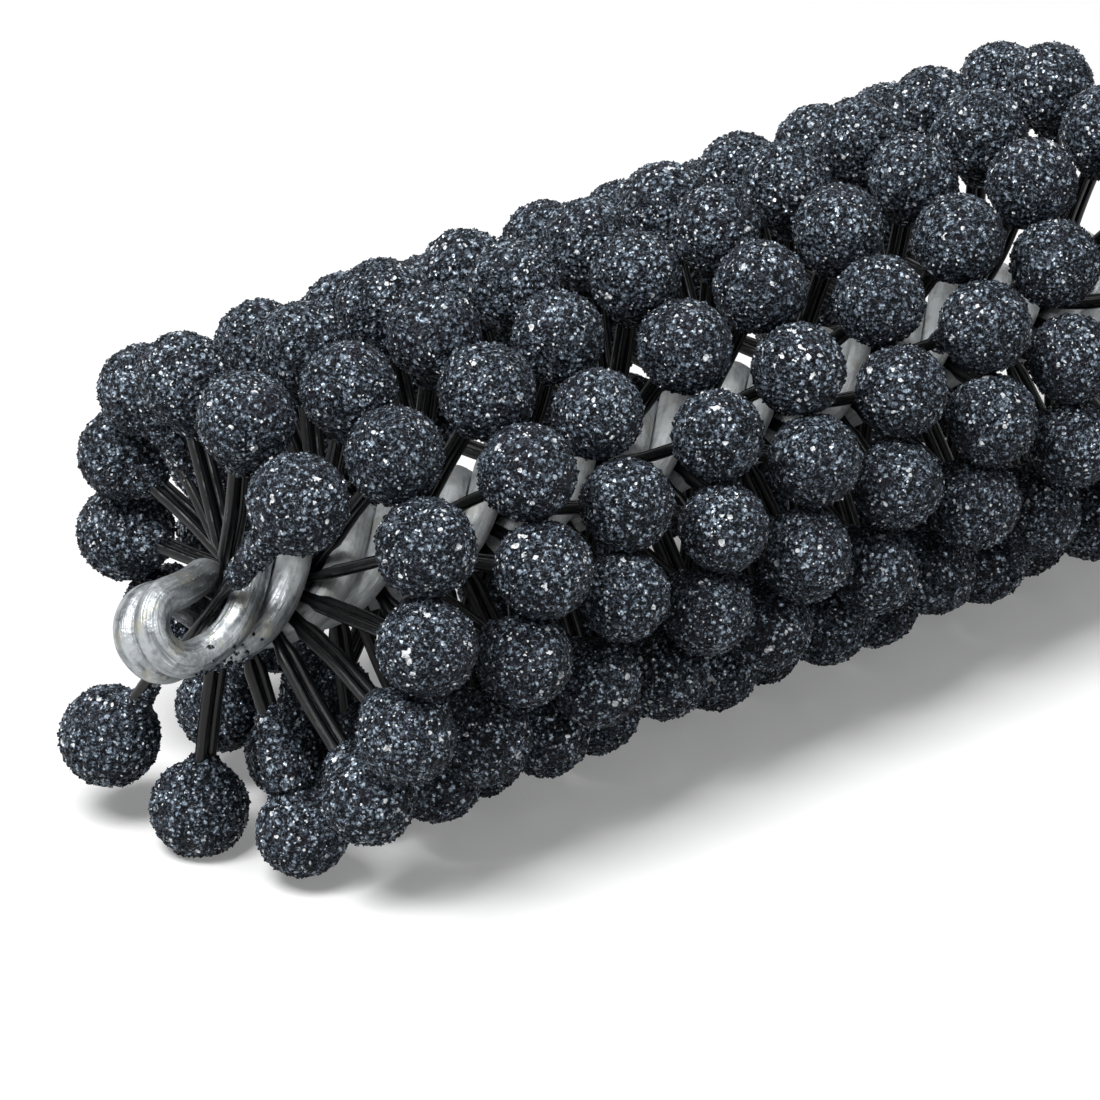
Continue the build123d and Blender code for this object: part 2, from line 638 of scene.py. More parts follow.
def begin_finish(name: str) -> tuple[Material, Graph, bpy.types.Node]:
    """Starts a material with its surface shader and output.

    Args:
        name: the material's name.

    Returns:
        The material, its graph and its surface shader.
    """
    material = bpy.data.materials.new(name)
    material.use_nodes = True
    graph = Graph(material.node_tree)
    surface = graph.add("ShaderNodeBsdfPrincipled")
    output = graph.add("ShaderNodeOutputMaterial")
    graph.feed(output.inputs["Surface"], surface.outputs["BSDF"])
    return material, graph, surface


@dataclass(frozen=True)
class GrainLayer:
    """One size of grain in the grit, and how much it adds to the tone and the relief."""

    fineness: float
    bright_share: float
    shade: float = 0.0
    edge: float = 0.0
    relief: float = 0.0


@dataclass(frozen=True)
class GritFinish:
    """Dark silicon carbide grit in resin: its tilted facets glitter where they face the light, and
    a few grains carry glints painted into their colour.
    """

    name: str
    dark: Colour = (0.004, 0.005, 0.007, 1.0)
    middle: Colour = (0.152, 0.188, 0.238, 1.0)
    pale: Colour = (0.490, 0.590, 0.690, 1.0)
    # The colour of the painted glints.
    glint: Colour = (0.90, 0.93, 0.95, 1.0)
    violet: Colour = (0.026, 0.022, 0.032, 1.0)
    grains_per_metre: float = 2500.0
    layers: tuple[GrainLayer, ...] = (
        GrainLayer(1.0, 0.03, 0.75, 0.3, 1.0),
        GrainLayer(1.9, 0.06, 0.5, 0.16, 0.5),
        GrainLayer(0.6, 0.012),
    )
    patches: Cloud = Cloud(800.0, 2.4)
    patch_share: float = 0.14
    hues: Cloud = Cloud(330.0, 3.0)
    hue_span: Span = (0.5, 0.95)
    violet_share: float = 0.35
    middle_span: Span = (0.2, 0.8)
    pale_span: Span = (0.66, 1.04)
    metal_span: Span = (0.4, 1.0)
    metal_share: float = 0.4
    roughness: Span = (0.5, 0.22)
    specular: float = 0.1
    relief: Span = (0.8, 0.00016)

    def build(self, groups: SurfaceGroups) -> Material:
        """Makes the material.

        Args:
            groups: the shared shader groups.

        Returns:
            The material.
        """
        material, graph, surface = begin_finish(self.name)
        spot = graph.add("ShaderNodeTexCoord").outputs["Object"]
        patch = groups.cloud(graph, spot, self.patches)
        hue = groups.cloud(graph, spot, self.hues)
        parts = [(patch, self.patch_share)]
        heights = []
        bright = None
        for layer in self.layers:
            grain = graph.place(groups.speckle, {
                "Vector": spot,
                "Grains per Metre": self.grains_per_metre * layer.fineness,
                "Bright Share": layer.bright_share,
            })
            if layer.shade:
                parts += [(grain["Shade"], layer.shade), (grain["Edge"], layer.edge)]
                heights.append((grain["Height"], layer.relief))
            if bright is None:
                facing, bright = grain["Shade"], grain["Bright"]
            else:
                bright = graph.math("MAXIMUM", bright, grain["Bright"])
        tone = graph.total(*parts)
        body = graph.mix(graph.ramp(tone, *self.middle_span), self.dark, self.middle)
        body = graph.mix(graph.ramp(hue, *self.hue_span, 0.0, self.violet_share), body, self.violet)
        body = graph.mix(graph.ramp(tone, *self.pale_span), body, self.pale)
        metal = graph.ramp(tone, *self.metal_span, 0.0, self.metal_share)
        # Painted glints: a few grains are near white in their colour, whatever the light.
        graph.feed(surface.inputs["Base Color"], graph.mix(bright, body, self.glint))
        graph.feed(surface.inputs["Roughness"], graph.ramp(facing, 0.0, 1.0, *self.roughness))
        graph.feed(surface.inputs["Metallic"], metal)
        graph.feed(surface.inputs["Specular IOR Level"], self.specular)
        graph.feed(surface.inputs["Normal"], graph.bump(graph.total(*heights), *self.relief))
        return material


@dataclass(frozen=True)
class PaintedShade:
    """A place on the eye where shade is painted into the zinc's colour, in metres."""

    centre: Place
    reach: float
    share: float


@dataclass(frozen=True)
class GalvanisedFinish:
    """Zinc over steel wire, with draw lines, rubbed patches, faint stains and painted shade on the
    eye.

    The zinc inside the brush is nearly white: partly a less worn coat, partly painted light that
    stands in for the light the balls shade off. Places are in metres, as the mesh is.
    """

    name: str
    zinc: Colour = (0.46, 0.49, 0.51, 1.0)
    # The colour of rubbed zinc, which also serves as the painted shade on the eye.
    dull_and_shade: Colour = (0.12, 0.13, 0.14, 1.0)
    scuff: Colour = (0.82, 0.84, 0.84, 1.0)
    stain: Colour = (0.46, 0.44, 0.33, 1.0)
    # The zinc inside the brush: partly a less worn coat, partly painted light where the balls shade
    # the stem.
    fresh_and_lit_zinc: Colour = (0.86, 0.90, 0.92, 1.0)
    pit: Colour = (0.02, 0.02, 0.022, 1.0)
    eye_span: Span = (0.1900, 0.1935)
    shank_span: Span = (0.1090, 0.1190)
    fine_lines: Lines = Lines(60.0, 0.004)
    broad_lines: Lines = Lines(13.0, 0.0025)
    patches: Cloud = Cloud(1300.0, 2.6)
    stains: Cloud = Cloud(420.0, 3.2)
    rubbed_line_span: Span = (0.42, 0.7)
    rubbed_line_share: float = 0.74
    rubbed_patch_span: Span = (0.3, 1.0)
    rubbed_patch_share: float = 0.45
    rubbed_when_fresh: float = 0.45
    # How the painted shade is broken up by the draw lines, and how far from its centre it stays
    # full.
    painted_shade_line_span: Span = (0.35, 0.65)
    painted_shade_between_lines: float = 0.7
    painted_shade_core: float = 0.45
    scuff_line_span: Span = (0.56, 0.7)
    scuff_patch_span: Span = (0.6, 0.2)
    scuff_share: float = 0.8
    stain_span: Span = (0.6, 1.0)
    stain_share: float = 0.4
    metallic: Span = (0.7, 0.15)
    roughness: Span = (0.3, 0.5)
    line_roughness: float = 0.1
    fine_relief: float = 0.8
    patch_relief: float = 0.7
    nick_relief: float = -2.0
    relief: Span = (0.7, 0.0001)
    nick_centre: Place = (0.19866, 0.0032, -0.0004)
    nick_long: Place = (-2300.0, 2030.0, 0.0)
    nick_short: Place = (1800.0, 2040.0, -5620.0)
    nick_reach: float = 0.0008
    nick_rags_per_metre: float = 6000.0
    nick_rag: float = 3.0
    nick_span: Span = (1.7, 2.6)
    # Painted shade: darker zinc where the balls and the eye's own bends shade the wire.
    painted_shades: tuple[PaintedShade, ...] = (
        PaintedShade((0.1944, 0.0034, 0.0004), 0.0023, 0.8),
        PaintedShade((0.1980, 0.0007, 0.0034), 0.0022, 0.6),
        PaintedShade((0.1950, -0.0006, 0.0012), 0.0018, 0.6),
        PaintedShade((0.2020, 0.0024, -0.0006), 0.0013, 0.35),
    )

    def nick(self, graph: Graph, spot: Socket) -> Socket:
        """The mask of the nick that a bending tool left in the eye.

        Args:
            graph: the material's graph.
            spot: the surface point.

        Returns:
            1 in the nick and 0 away from it.
        """
        offset = graph.vector("SUBTRACT", spot, self.nick_centre)
        long_way = graph.measure("DOT_PRODUCT", offset, self.nick_long)
        short_way = graph.measure("DOT_PRODUCT", offset, self.nick_short)
        squares = [graph.math("MULTIPLY", way, way) for way in (long_way, short_way)]
        noise = {"Vector": spot, "Scale": self.nick_rags_per_metre, "Detail": 2.0}
        worn = graph.add("ShaderNodeTexNoise", noise).outputs[0]
        ragged = graph.total((squares[0], 1.0), (squares[1], 1.0), (worn, self.nick_rag))
        inside = graph.math("LESS_THAN", graph.measure("LENGTH", offset), self.nick_reach)
        return graph.math("MULTIPLY", graph.ramp(ragged, *self.nick_span, 1.0, 0.0), inside)

    def painted_shade(self, graph: Graph, spot: Socket) -> Socket:
        """How much painted shade darkens the zinc near each shaded place.

        Args:
            graph: the material's graph.
            spot: the surface point.

        Returns:
            0 away from the shaded places, and up to a place's share of painted shade inside one.
        """
        total = 0.0
        for place in self.painted_shades:
            away = graph.measure("DISTANCE", spot, place.centre)
            core = place.reach * self.painted_shade_core
            dullness = graph.ramp(away, core, place.reach, place.share, 0.0)
            total = graph.math("MAXIMUM", dullness, total)
        return total

    def colour(self, graph: Graph, spot: Socket, kept: Socket, marks: tuple[Socket, ...]) -> Socket:
        """The zinc's colour, from the brush's lighter coat, through rubbed zinc and painted shade,
        down to its last stain.

        Args:
            graph: the material's graph.
            spot: the surface point.
            kept: 1 inside the brush, where the zinc is less worn and painted lighter.
            marks: the fine lines, broad lines, patches and stains.

        Returns:
            The colour.
        """
        fine, broad, patch, stain = marks
        by_line = graph.ramp(broad, *self.rubbed_line_span, 0.0, self.rubbed_line_share)
        by_patch = graph.ramp(patch, *self.rubbed_patch_span, 0.0, self.rubbed_patch_share)
        spared = graph.ramp(kept, 0.0, 1.0, 1.0, self.rubbed_when_fresh)
        rubbed = graph.math("MULTIPLY", graph.math("ADD", by_line, by_patch), spared)
        # Inside the brush the zinc is painted lighter, partly for its less worn coat and partly as
        # painted light.
        base = graph.mix(rubbed, graph.mix(kept, self.zinc, self.fresh_and_lit_zinc), self.dull_and_shade)
        # Painted shade on the eye, broken up by the draw lines.
        between = graph.ramp(fine, *self.painted_shade_line_span, self.painted_shade_between_lines, 1.0)
        painted_shade = graph.math("MULTIPLY", self.painted_shade(graph, spot), between)
        base = graph.mix(painted_shade, base, self.dull_and_shade)
        on_line = graph.ramp(fine, *self.scuff_line_span)
        on_patch = graph.ramp(patch, *self.scuff_patch_span, 0.0, self.scuff_share)
        base = graph.mix(graph.math("MULTIPLY", on_line, on_patch), base, self.scuff)
        stained = graph.ramp(stain, *self.stain_span, 0.0, self.stain_share)
        return graph.mix(stained, base, self.stain)

    def build(self, groups: SurfaceGroups) -> Material:
        """Makes the material.

        Args:
            groups: the shared shader groups.

        Returns:
            The material.
        """
        material, graph, surface = begin_finish(self.name)
        spot = graph.add("ShaderNodeTexCoord").outputs["Object"]
        fine = groups.lines(graph, self.fine_lines)
        broad = groups.lines(graph, self.broad_lines)
        patch = groups.cloud(graph, spot, self.patches)
        stain = groups.cloud(graph, spot, self.stains)
        along_stem = graph.add("ShaderNodeSeparateXYZ", {0: spot}).outputs["X"]
        # kept marks the zinc inside the brush, which is painted lighter.
        before_eye = graph.ramp(along_stem, *self.eye_span, 1.0, 0.0)
        kept = graph.math("MULTIPLY", before_eye, graph.ramp(along_stem, *self.shank_span))
        base = self.colour(graph, spot, kept, (fine, broad, patch, stain))
        nick = self.nick(graph, spot)
        dullness = graph.ramp(patch, 0.0, 1.0, *self.roughness)
        rough = graph.total((dullness, 1.0), (fine, self.line_roughness))
        height = graph.total(
            (fine, self.fine_relief),
            (patch, self.patch_relief),
            (broad, 1.0),
            (nick, self.nick_relief),
        )
        graph.feed(surface.inputs["Base Color"], graph.mix(nick, base, self.pit))
        graph.feed(surface.inputs["Metallic"], graph.ramp(kept, 0.0, 1.0, *self.metallic))
        graph.feed(surface.inputs["Roughness"], rough)
        graph.feed(surface.inputs["Normal"], graph.bump(height, *self.relief))
        return material


@dataclass(frozen=True)
class NylonFinish:
    """Black nylon monofilament: satin, with fine streaks along it, whose pale lines are partly wear
    and partly painted sheen.
    """

    name: str
    black: Colour = (0.002, 0.0023, 0.003, 1.0)
    # The pale streaks' colour: partly wear, partly painted sheen.
    worn: Colour = (0.190, 0.200, 0.215, 1.0)
    lines: Lines = Lines(14.0, 0.008)
    dust: Cloud = Cloud(900.0, 2.0)
    worn_and_sheen_line_span: Span = (0.6, 0.72)
    worn_and_sheen_dust_span: Span = (0.3, 0.9)
    rough_span: Span = (0.3, 0.7)
    roughness: Span = (0.2, 0.4)
    specular: float = 0.3
    relief: Span = (0.3, 0.00004)

    def build(self, groups: SurfaceGroups) -> Material:
        """Makes the material.

        Args:
            groups: the shared shader groups.

        Returns:
            The material.
        """
        material, graph, surface = begin_finish(self.name)
        spot = graph.add("ShaderNodeTexCoord").outputs["Object"]
        lines = groups.lines(graph, self.lines)
        dust = groups.cloud(graph, spot, self.dust)
        # Pale lines along the strands: partly wear, partly painted sheen.
        on_line = graph.ramp(lines, *self.worn_and_sheen_line_span)
        worn = graph.math("MULTIPLY", on_line, graph.ramp(dust, *self.worn_and_sheen_dust_span))
        rough = graph.ramp(lines, *self.rough_span, *self.roughness)
        graph.feed(surface.inputs["Base Color"], graph.mix(worn, self.black, self.worn))
        graph.feed(surface.inputs["Roughness"], rough)
        graph.feed(surface.inputs["Specular IOR Level"], self.specular)
        graph.feed(surface.inputs["Normal"], graph.bump(lines, *self.relief))
        return material


# Geometry trees


CRUST_SIZES = {
    "Lump Height": Kind.NUMBER,
    "Grain Height": Kind.NUMBER,
    "Crystals per Area": Kind.NUMBER,
    "Crystal Size": Kind.NUMBER,
    "Seed": Kind.WHOLE,
    "Finish": Kind.MATERIAL,
}


def random_number(graph: Graph, low: float, high: float, seed: object) -> Socket:
    """A number for each point: sockets 2 and 3 of the node take its range, and 1 gives it."""
    inputs = {2: low, 3: high, "Seed": seed}
    return graph.add("FunctionNodeRandomValue", inputs, data_type="FLOAT").outputs[1]


def random_vector(graph: Graph, low: float, high: float, seed: object) -> Socket:
    """A vector for each point: sockets 0 and 1 of the node take its range, and 0 gives it."""
    inputs = {0: (low, low, low), 1: (high, high, high), "Seed": seed}
    return graph.add("FunctionNodeRandomValue", inputs, data_type="FLOAT_VECTOR").outputs[0]


def add_crystals(
    graph: Graph, points: object, size: object, seed: object, slim: float = 0.5, stout: float = 1.2
) -> Socket:
    """Puts an angular grain of grit on each point.

    Args:
        graph: the tree's graph.
        points: the points.
        size: the grains' usual width.
        seed: the seed of their turns and widths.
        slim: the least width of a grain, as a share of the usual one.
        stout: the greatest.

    Returns:
        The grains, as real geometry.
    """
    octahedron = {"Segments": 4, "Rings": 2, "Radius": 0.5}
    crystal = graph.add("GeometryNodeMeshUVSphere", octahedron).outputs["Mesh"]
    turn_seed = graph.math("ADD", seed, 3)
    width_seed = graph.math("ADD", seed, 5)
    stretch = random_vector(graph, slim, stout, width_seed)
    crystals = graph.add("GeometryNodeInstanceOnPoints", {
        "Points": points,
        "Instance": crystal,
        "Rotation": random_vector(graph, 0.0, 2 * math.pi, turn_seed),
        "Scale": graph.scaled(stretch, size),
    }).outputs["Instances"]
    return graph.add("GeometryNodeRealizeInstances", {"Geometry": crystals}).outputs[0]


def finish_geometry(graph: Graph, parts: list[object], finish: object, smooth: bool) -> None:
    """Joins the parts, shades them and sends them out of the tree.

    Args:
        graph: the tree's graph.
        parts: the geometry to join.
        finish: the material.
        smooth: whether they are shaded smooth.
    """
    joined = graph.add("GeometryNodeJoinGeometry")
    for part in parts:
        graph.feed(joined.inputs[0], part)
    shading = {"Geometry": joined.outputs[0], "Shade Smooth": smooth}
    shaded = graph.add("GeometryNodeSetShadeSmooth", shading).outputs[0]
    done = graph.add("GeometryNodeSetMaterial", {"Geometry": shaded, "Material": finish})
    graph.add("NodeGroupOutput", {"Geometry": done.outputs[0]})


def make_crust_tree(
    lumps_per_metre: float = 420.0, sunk: float = -0.75, proud: float = 0.55
) -> Tree:
    """Turns a smooth skin into a lumpy crust of grit.

    Args:
        lumps_per_metre: how close the lumps lie.
        sunk: the lowest grain, as a share of the grain height.
        proud: the highest grain.

    Returns:
        The Geometry Nodes tree.
    """
    takes = {"Geometry": Kind.GEOMETRY, **CRUST_SIZES}
    tree = new_tree("grit_crust", "GeometryNodeTree", takes, {"Geometry": Kind.GEOMETRY})
    graph = Graph(tree)
    given = graph.add("NodeGroupInput").outputs
    normal = graph.add("GeometryNodeInputNormal").outputs[0]
    place = graph.add("GeometryNodeInputPosition").outputs[0]
    noise = {"Vector": place, "Scale": lumps_per_metre, "Detail": 2.0}
    cloud = graph.add("ShaderNodeTexNoise", noise).outputs[0]
    lump = graph.math("MULTIPLY", graph.math("SUBTRACT", cloud, 0.5), given["Lump Height"])
    level = random_number(graph, sunk, proud, given["Seed"])
    grain = graph.math("MULTIPLY", level, given["Grain Height"])
    offset = graph.scaled(normal, graph.math("ADD", lump, grain))
    skin = {"Geometry": given["Geometry"], "Offset": offset}
    rough = graph.add("GeometryNodeSetPosition", skin).outputs[0]
    scatter = graph.add("GeometryNodeDistributePointsOnFaces", {
        "Mesh": rough,
        "Density": given["Crystals per Area"],
        "Seed": given["Seed"],
    }).outputs["Points"]
    crystals = add_crystals(graph, scatter, given["Crystal Size"], given["Seed"])
    finish_geometry(graph, [rough, crystals], given["Finish"], False)
    return tree


def add_crust(graph: Graph, crust: Tree, skin: object, given: object) -> Socket:
    """Covers a skin with grit, with the sizes that the tree was given.

    Args:
        graph: the tree's graph.
        crust: the crust tree.
        skin: the smooth skin.
        given: the outputs of the tree's own input node.

    Returns:
        The crust.
    """
    sizes = {label: given[label] for label in CRUST_SIZES}
    node = graph.add("GeometryNodeGroup", {"Geometry": skin, **sizes}, node_tree=crust)
    return node.outputs["Geometry"]


def read_attribute(graph: Graph, name: str, kind: str) -> Socket:
    """A named attribute of each point."""
    node = graph.add("GeometryNodeInputNamedAttribute", {"Name": name}, data_type=kind)
    return node.outputs["Attribute"]


def store_attribute(graph: Graph, geometry: object, name: str, value: object) -> Socket:
    """Geometry with a number stored on each of its points.

    Args:
        graph: the tree's graph.
        geometry: the geometry.
        name: the attribute's name.
        value: the number.

    Returns:
        The geometry with the attribute.
    """
    kept = {"Geometry": geometry, "Name": name, "Value": value}
    kinds = {"data_type": "FLOAT", "domain": "POINT"}
    return graph.add("GeometryNodeStoreNamedAttribute", kept, **kinds).outputs[0]


def sweep(graph: Graph, curve: object, profile: object) -> Socket:
    """A closed tube along each curve, as wide as the curve's own radius says.

    Args:
        graph: the tree's graph.
        curve: the curves.
        profile: the tube's section.

    Returns:
        The tubes.
    """
    width = graph.add("GeometryNodeInputRadius").outputs[0]
    inputs = {"Curve": curve, "Profile Curve": profile, "Fill Caps": True, "Scale": width}
    return graph.add("GeometryNodeCurveToMesh", inputs).outputs[0]


def make_ball_tree(crust: Tree, splits: int = 5, neck_from: float = -0.84) -> Tree:
    """Grows a gritty ball with a coated neck on every point of a mesh.

    Args:
        crust: the crust tree.
        splits: the ball's fineness, as Blender counts an icosphere's subdivisions.
        neck_from: how low on the ball its neck starts, from -1 at the spoke to 1 outside.

    Returns:
        The Geometry Nodes tree.
    """
    takes = {
        "Geometry": Kind.GEOMETRY,
        "Ball Radius": Kind.NUMBER,
        "Neck Reach": Kind.NUMBER,
        **CRUST_SIZES,
    }
    tree = new_tree("gritty_balls", "GeometryNodeTree", takes, {"Geometry": Kind.GEOMETRY})
    graph = Graph(tree)
    given = graph.add("NodeGroupInput").outputs
    sphere = {"Radius": given["Ball Radius"], "Subdivisions": splits}
    ball = graph.add("GeometryNodeMeshIcoSphere", sphere).outputs["Mesh"]
    where = graph.add("GeometryNodeInputPosition").outputs[0]
    outward = graph.add("ShaderNodeVectorMath", {0: where}, operation="NORMALIZE").outputs[0]
    height = graph.add("ShaderNodeSeparateXYZ", {0: outward}).outputs["Z"]
    pull = graph.math("MULTIPLY", graph.ramp(height, neck_from, -1.0), given["Neck Reach"])
    drop = graph.add("ShaderNodeCombineXYZ", {"Z": graph.math("MULTIPLY", pull, -1.0)}).outputs[0]
    drawn = graph.add("GeometryNodeSetPosition", {"Geometry": ball, "Offset": drop}).outputs[0]
    spoke = read_attribute(graph, "spoke", "FLOAT_VECTOR")
    swell = read_attribute(graph, "swell", "FLOAT")
    stand = graph.add("FunctionNodeAlignRotationToVector", {"Vector": spoke}, axis="Z").outputs[0]
    spin = random_number(graph, 0.0, 2 * math.pi, given["Seed"])
    twirl = graph.add("FunctionNodeAxisAngleToRotation", {"Angle": spin}).outputs[0]
    turns = {"Rotation": stand, "Rotate By": twirl}
    turned = graph.add("FunctionNodeRotateRotation", turns, rotation_space="LOCAL").outputs[0]
    balls = graph.add("GeometryNodeInstanceOnPoints", {
        "Points": given["Geometry"],
        "Instance": drawn,
        "Rotation": turned,
        "Scale": swell,
    }).outputs["Instances"]
    real = graph.add("GeometryNodeRealizeInstances", {"Geometry": balls}).outputs[0]
    graph.add("NodeGroupOutput", {"Geometry": add_crust(graph, crust, real, given)})
    return tree


def make_sleeve_tree(crust: Tree) -> Tree:
    """Grows a crust of grit along each curve, as wide as the curve's own radius.

    Args:
        crust: the crust tree.

    Returns:
        The Geometry Nodes tree.
    """
    takes = {"Geometry": Kind.GEOMETRY, "Sides": Kind.WHOLE, **CRUST_SIZES}
    tree = new_tree("gritty_sleeves", "GeometryNodeTree", takes, {"Geometry": Kind.GEOMETRY})
    graph = Graph(tree)
    given = graph.add("NodeGroupInput").outputs
    section = {"Resolution": given["Sides"], "Radius": MM}
    circle = graph.add("GeometryNodeCurvePrimitiveCircle", section).outputs[0]
    skin = sweep(graph, given["Geometry"], circle)
    graph.add("NodeGroupOutput", {"Geometry": add_crust(graph, crust, skin, given)})
    return tree


def make_tube_tree(dent_level: float = 0.62) -> Tree:
    """Makes a wire or strand along each of its curves, a little uneven as drawn stock is.

    Args:
        dent_level: how high the noise goes before it stands out of the tube.

    Returns:
        The Geometry Nodes tree.
    """
    takes = {
        "Geometry": Kind.GEOMETRY,
        "Diameter": Kind.NUMBER,
        "Dent Depth": Kind.NUMBER,
        "Dents per Metre": Kind.NUMBER,
        "Sides": Kind.WHOLE,
        "Finish": Kind.MATERIAL,
    }
    tree = new_tree("drawn_tube", "GeometryNodeTree", takes, {"Geometry": Kind.GEOMETRY})
    graph = Graph(tree)
    given = graph.add("NodeGroupInput").outputs
    reach = graph.add("GeometryNodeSplineParameter").outputs
    line = store_attribute(graph, given["Geometry"], "along", reach["Length"])
    radius = graph.math("MULTIPLY", given["Diameter"], 0.5)
    section = {"Resolution": given["Sides"], "Radius": radius}
    circle = graph.add("GeometryNodeCurvePrimitiveCircle", section).outputs[0]
    tube = sweep(graph, line, store_attribute(graph, circle, "around", reach["Factor"]))
    normal = graph.add("GeometryNodeInputNormal").outputs[0]
    place = graph.add("GeometryNodeInputPosition").outputs[0]
    noise = {"Vector": place, "Scale": given["Dents per Metre"], "Detail": 2.0}
    cloud = graph.add("ShaderNodeTexNoise", noise).outputs[0]
    dent = graph.math("MULTIPLY", graph.math("SUBTRACT", cloud, dent_level), given["Dent Depth"])
    wear = {"Geometry": tube, "Offset": graph.scaled(normal, dent)}
    worn = graph.add("GeometryNodeSetPosition", wear).outputs[0]
    finish_geometry(graph, [worn], given["Finish"], True)
    return tree


def make_stray_tree(thick_share: float = 0.5) -> Tree:
    """Scatters loose grains over the part of a skin that is near a point.

    Args:
        thick_share: how far from the point they lie thick, as a share of the patch's radius.

    Returns:
        The Geometry Nodes tree.
    """
    takes = {
        "Geometry": Kind.GEOMETRY,
        "Patch Centre": Kind.VECTOR,
        "Patch Radius": Kind.NUMBER,
        "Crystals per Area": Kind.NUMBER,
        "Crystal Size": Kind.NUMBER,
        "Seed": Kind.WHOLE,
        "Finish": Kind.MATERIAL,
    }
    tree = new_tree("stray_grit", "GeometryNodeTree", takes, {"Geometry": Kind.GEOMETRY})
    graph = Graph(tree)
    given = graph.add("NodeGroupInput").outputs
    place = graph.add("GeometryNodeInputPosition").outputs[0]
    away = graph.measure("DISTANCE", place, given["Patch Centre"])
    share = graph.math("DIVIDE", away, given["Patch Radius"])
    thinned = graph.ramp(share, thick_share, 1.0, 1.0, 0.0)
    scatter = graph.add("GeometryNodeDistributePointsOnFaces", {
        "Mesh": given["Geometry"],
        "Density": graph.math("MULTIPLY", thinned, given["Crystals per Area"]),
        "Seed": given["Seed"],
    }).outputs["Points"]
    crystals = add_crystals(graph, scatter, given["Crystal Size"], given["Seed"])
    finish_geometry(graph, [crystals], given["Finish"], False)
    return tree


@dataclass(frozen=True)
class Knot:
    """A point of a curve, in millimetres, and how wide the curve is there."""

    place: Vector
    width: float = 1.0


def line_curve(name: str, lines: list[list[Knot]]) -> bpy.types.Curve:
    """A curve of straight runs, one spline for each list of knots.

    Args:
        name: the curve's name.
        lines: the knots of each spline.

    Returns:
        The curve, in metres.
    """
    curve = bpy.data.curves.new(name, "CURVE")
    curve.dimensions = "3D"
    for knots in lines:
        spline = curve.splines.new("POLY")
        spline.points.add(len(knots) - 1)
        for point, knot in zip(spline.points, knots):
            point.co = (*(knot.place * MM), 1.0)
            point.radius = knot.width
    return curve


def shear_off(mesh: bpy.types.Mesh) -> None:
    """Cuts off what lies behind the stem's end, and closes the cut.

    Args:
        mesh: the wire, in metres. Its sheared end lies at X = 0.
    """
    work = bmesh.new()
    work.from_mesh(mesh)
    parts = work.verts[:] + work.edges[:] + work.faces[:]
    plane = {"plane_co": (0, 0, 0), "plane_no": (1, 0, 0)}
    cut = bmesh.ops.bisect_plane(work, geom=parts, clear_inner=True, **plane)
    rim = [part for part in cut["geom_cut"] if isinstance(part, bmesh.types.BMEdge)]
    bmesh.ops.holes_fill(work, edges=rim)
    work.to_mesh(mesh)
    work.free()


# Sub-assemblies


@dataclass(frozen=True)
class GritSizes:
    """How coarse the crust is, in millimetres."""

    lump_height: float = 0.36
    grain_height: float = 0.13
    crystals_per_square: float = 4.2
    crystal_size: float = 0.36

    def values(self, seed: int, finish: Material) -> dict[str, object]:
        """The crust's inputs, in metres.

        Args:
            seed: the crust's seed.
            finish: the grit's finish.

        Returns:
            Input names and values.
        """
        return {
            "Lump Height": self.lump_height * MM,
            "Grain Height": self.grain_height * MM,
            "Crystals per Area": self.crystals_per_square / MM ** 2,
            "Crystal Size": self.crystal_size * MM,
            "Seed": seed,
            "Finish": finish,
        }


class End(Enum):
    """The two ends of a bundle."""

    NEAR = False
    FAR = True


@dataclass(frozen=True)
class BallFit:
    """How one ball of the photograph sits off the rule, in millimetres across the picture."""

    index: int
    end: End
    right: float
    down: float
    size: float


